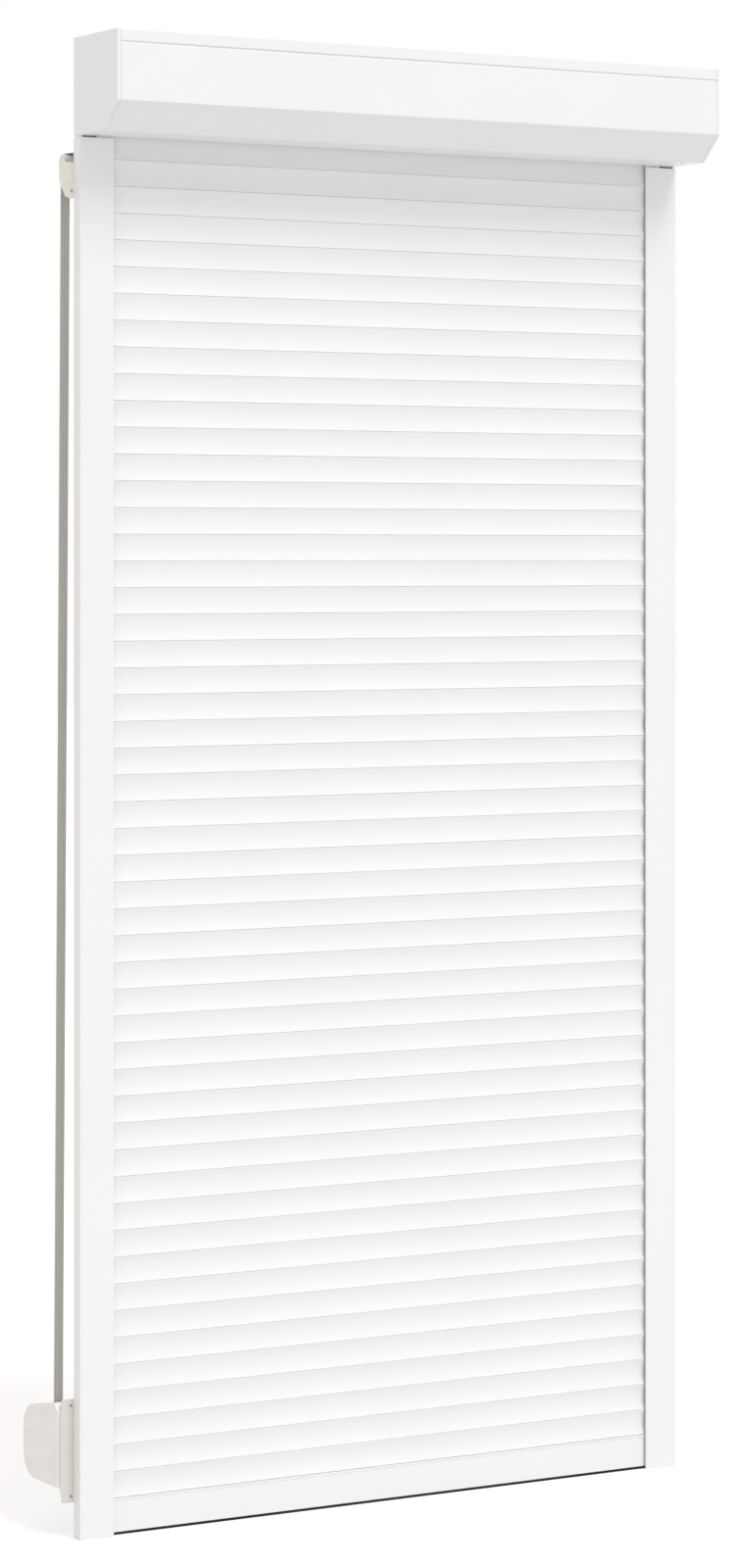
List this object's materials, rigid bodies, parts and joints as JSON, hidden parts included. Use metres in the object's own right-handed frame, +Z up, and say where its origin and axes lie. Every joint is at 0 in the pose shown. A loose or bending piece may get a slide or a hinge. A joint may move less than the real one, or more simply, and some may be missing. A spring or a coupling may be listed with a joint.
{
  "type": "exterior roller shutter",
  "caption": "White front-mounted roller shutter with a chamfered box, guide rails, a slatted curtain and a strap drive with recoiler.",
  "frame": {"origin": "middle of the box's rear face, on the wall", "axes": "+X to the right seen from outside, +Y into the wall, +Z up"},
  "size_m": [1.023, 0.253, 2.1],
  "materials": {
    "coated_aluminium": "smooth white coil coating, satin",
    "coated_cast_cap": "white powder coating on a casting, satin",
    "white_plastic": "moulded, satin",
    "recoiler_plastic": "moulded, satin",
    "cream_plastic": "moulded, satin",
    "beige_plastic": "moulded, satin",
    "grey_plastic": "moulded, matt",
    "black_rubber": "matt rubber",
    "grey_webbing": "woven polyester strap",
    "galvanised_steel": "galvanised, spangled",
    "zinc_steel": "zinc plated"
  },
  "bodies": {
    "frame": {"box_top_shell": "coated_aluminium", "box_front_cover": "coated_aluminium", "end_cap_left": "coated_cast_cap", "end_cap_right": "coated_cast_cap", "cover_screws": "zinc_steel", "guide_rail_left": "coated_aluminium", "guide_rail_right": "coated_aluminium", "rail_seals_left": "black_rubber", "rail_seals_right": "black_rubber", "inlet_funnel_left": "white_plastic", "inlet_funnel_right": "white_plastic", "bearing_left": "zinc_steel", "bearing_right": "zinc_steel", "strap": "grey_webbing", "strap_guide_housing": "cream_plastic", "guide_roller_pin": "zinc_steel", "recoiler_plate": "beige_plastic", "recoiler_base": "recoiler_plastic", "recoiler_cover": "recoiler_plastic", "recoiler_axle": "zinc_steel", "recoiler_spring": "galvanised_steel"},
    "shaft": {"shaft_tube": "galvanised_steel", "strap_disc": "white_plastic", "shaft_capsule": "grey_plastic", "shaft_pin_left": "zinc_steel", "shaft_pin_right": "zinc_steel", "disc_winding": "grey_webbing", "suspension_strips": "galvanised_steel"},
    "bottom_bar": {"end_slat": "coated_aluminium", "end_slat_seal": "black_rubber", "end_slat_caps": "grey_plastic"},
    "guide_roller": {"guide_roller": "white_plastic"},
    "reel": {"recoiler_reel": "white_plastic", "reel_winding": "grey_webbing"},
    "slat_group_01": {"slats_01": "coated_aluminium"},
    "slat_group_02": {"slats_02": "coated_aluminium"},
    "slat_group_03": {"slats_03": "coated_aluminium"},
    "slat_group_04": {"slats_04": "coated_aluminium"},
    "slat_group_05": {"slats_05": "coated_aluminium"},
    "slat_group_06": {"slats_06": "coated_aluminium"},
    "slat_group_07": {"slats_07": "coated_aluminium"},
    "slat_group_08": {"slats_08": "coated_aluminium"},
    "slat_group_09": {"slats_09": "coated_aluminium"},
    "slat_group_10": {"slats_10": "coated_aluminium"},
    "slat_group_11": {"slats_11": "coated_aluminium"},
    "slat_group_12": {"slats_12": "coated_aluminium"},
    "slat_group_13": {"slats_13": "coated_aluminium"},
    "slat_group_14": {"slats_14": "coated_aluminium"},
    "slat_group_15": {"slats_15": "coated_aluminium"},
    "slat_group_16": {"slats_16": "coated_aluminium"},
    "slat_group_17": {"slats_17": "coated_aluminium"}
  },
  "joints": [
    {"name": "curtain_lift", "type": "slide", "parent": "frame", "child": "bottom_bar", "axis": [0, 0, 1], "range_m": [0, 1.9]},
    {"name": "slat_group_01_lift", "type": "slide", "parent": "frame", "child": "slat_group_01", "axis": [0, 0, 1], "range_m": [0, 1.9005], "deforming": ["slats_01"]},
    {"name": "slat_group_02_lift", "type": "slide", "parent": "frame", "child": "slat_group_02", "axis": [0, 0, 1], "range_m": [0, 1.8047], "deforming": ["slats_02"]},
    {"name": "slat_group_03_lift", "type": "slide", "parent": "frame", "child": "slat_group_03", "axis": [0, 0, 1], "range_m": [0, 1.6919], "deforming": ["slats_03"]},
    {"name": "slat_group_04_lift", "type": "slide", "parent": "frame", "child": "slat_group_04", "axis": [0, 0, 1], "range_m": [0, 1.5791], "deforming": ["slats_04"]},
    {"name": "slat_group_05_lift", "type": "slide", "parent": "frame", "child": "slat_group_05", "axis": [0, 0, 1], "range_m": [0, 1.4663], "deforming": ["slats_05"]},
    {"name": "slat_group_06_lift", "type": "slide", "parent": "frame", "child": "slat_group_06", "axis": [0, 0, 1], "range_m": [0, 1.3535], "deforming": ["slats_06"]},
    {"name": "slat_group_07_lift", "type": "slide", "parent": "frame", "child": "slat_group_07", "axis": [0, 0, 1], "range_m": [0, 1.2407], "deforming": ["slats_07"]},
    {"name": "slat_group_08_lift", "type": "slide", "parent": "frame", "child": "slat_group_08", "axis": [0, 0, 1], "range_m": [0, 1.1279], "deforming": ["slats_08"]},
    {"name": "slat_group_09_lift", "type": "slide", "parent": "frame", "child": "slat_group_09", "axis": [0, 0, 1], "range_m": [0, 1.0151], "deforming": ["slats_09"]},
    {"name": "slat_group_10_lift", "type": "slide", "parent": "frame", "child": "slat_group_10", "axis": [0, 0, 1], "range_m": [0, 0.9023], "deforming": ["slats_10"]},
    {"name": "slat_group_11_lift", "type": "slide", "parent": "frame", "child": "slat_group_11", "axis": [0, 0, 1], "range_m": [0, 0.7895], "deforming": ["slats_11"]},
    {"name": "slat_group_12_lift", "type": "slide", "parent": "frame", "child": "slat_group_12", "axis": [0, 0, 1], "range_m": [0, 0.6767], "deforming": ["slats_12"]},
    {"name": "slat_group_13_lift", "type": "slide", "parent": "frame", "child": "slat_group_13", "axis": [0, 0, 1], "range_m": [0, 0.5639], "deforming": ["slats_13"]},
    {"name": "slat_group_14_lift", "type": "slide", "parent": "frame", "child": "slat_group_14", "axis": [0, 0, 1], "range_m": [0, 0.4511], "deforming": ["slats_14"]},
    {"name": "slat_group_15_lift", "type": "slide", "parent": "frame", "child": "slat_group_15", "axis": [0, 0, 1], "range_m": [0, 0.3383], "deforming": ["slats_15"]},
    {"name": "slat_group_16_lift", "type": "slide", "parent": "frame", "child": "slat_group_16", "axis": [0, 0, 1], "range_m": [0, 0.2255], "deforming": ["slats_16"]},
    {"name": "slat_group_17_lift", "type": "slide", "parent": "frame", "child": "slat_group_17", "axis": [0, 0, 1], "range_m": [0, 0.1127], "deforming": ["slats_17"]},
    {"name": "shaft_turn", "type": "hinge", "parent": "frame", "child": "shaft", "pos_m": [0, -0.0685, 0], "axis": [1, 0, 0], "range_deg": [0, 2161], "deforming": ["suspension_strips"]},
    {"name": "guide_roller_turn", "type": "hinge", "parent": "frame", "child": "guide_roller", "pos_m": [-0.497, 0.024, -0.1005], "axis": [1, 0, 0], "range_deg": [-8921, 0]},
    {"name": "reel_turn", "type": "hinge", "parent": "frame", "child": "reel", "pos_m": [-0.5045, 0.062, -1.9095], "axis": [1, 0, 0], "range_deg": [0, 3205]}
  ],
  "couplings": [
    {"joint": "slat_group_01_lift", "follows": "curtain_lift", "ratio": 1},
    {"joint": "slat_group_02_lift", "follows": "curtain_lift", "ratio": 0.94958},
    {"joint": "slat_group_03_lift", "follows": "curtain_lift", "ratio": 0.89021},
    {"joint": "slat_group_04_lift", "follows": "curtain_lift", "ratio": 0.83084},
    {"joint": "slat_group_05_lift", "follows": "curtain_lift", "ratio": 0.77147},
    {"joint": "slat_group_06_lift", "follows": "curtain_lift", "ratio": 0.7121},
    {"joint": "slat_group_07_lift", "follows": "curtain_lift", "ratio": 0.65274},
    {"joint": "slat_group_08_lift", "follows": "curtain_lift", "ratio": 0.59337},
    {"joint": "slat_group_09_lift", "follows": "curtain_lift", "ratio": 0.534},
    {"joint": "slat_group_10_lift", "follows": "curtain_lift", "ratio": 0.47463},
    {"joint": "slat_group_11_lift", "follows": "curtain_lift", "ratio": 0.41526},
    {"joint": "slat_group_12_lift", "follows": "curtain_lift", "ratio": 0.3559},
    {"joint": "slat_group_13_lift", "follows": "curtain_lift", "ratio": 0.29653},
    {"joint": "slat_group_14_lift", "follows": "curtain_lift", "ratio": 0.23716},
    {"joint": "slat_group_15_lift", "follows": "curtain_lift", "ratio": 0.17779},
    {"joint": "slat_group_16_lift", "follows": "curtain_lift", "ratio": 0.11842},
    {"joint": "slat_group_17_lift", "follows": "curtain_lift", "ratio": 0.059053},
    {"joint": "shaft_turn", "follows": "curtain_lift", "rad_per_m": 19.842},
    {"joint": "guide_roller_turn", "follows": "curtain_lift", "rad_per_m": -81.939},
    {"joint": "reel_turn", "follows": "curtain_lift", "rad_per_m": 29.432}
  ]
}
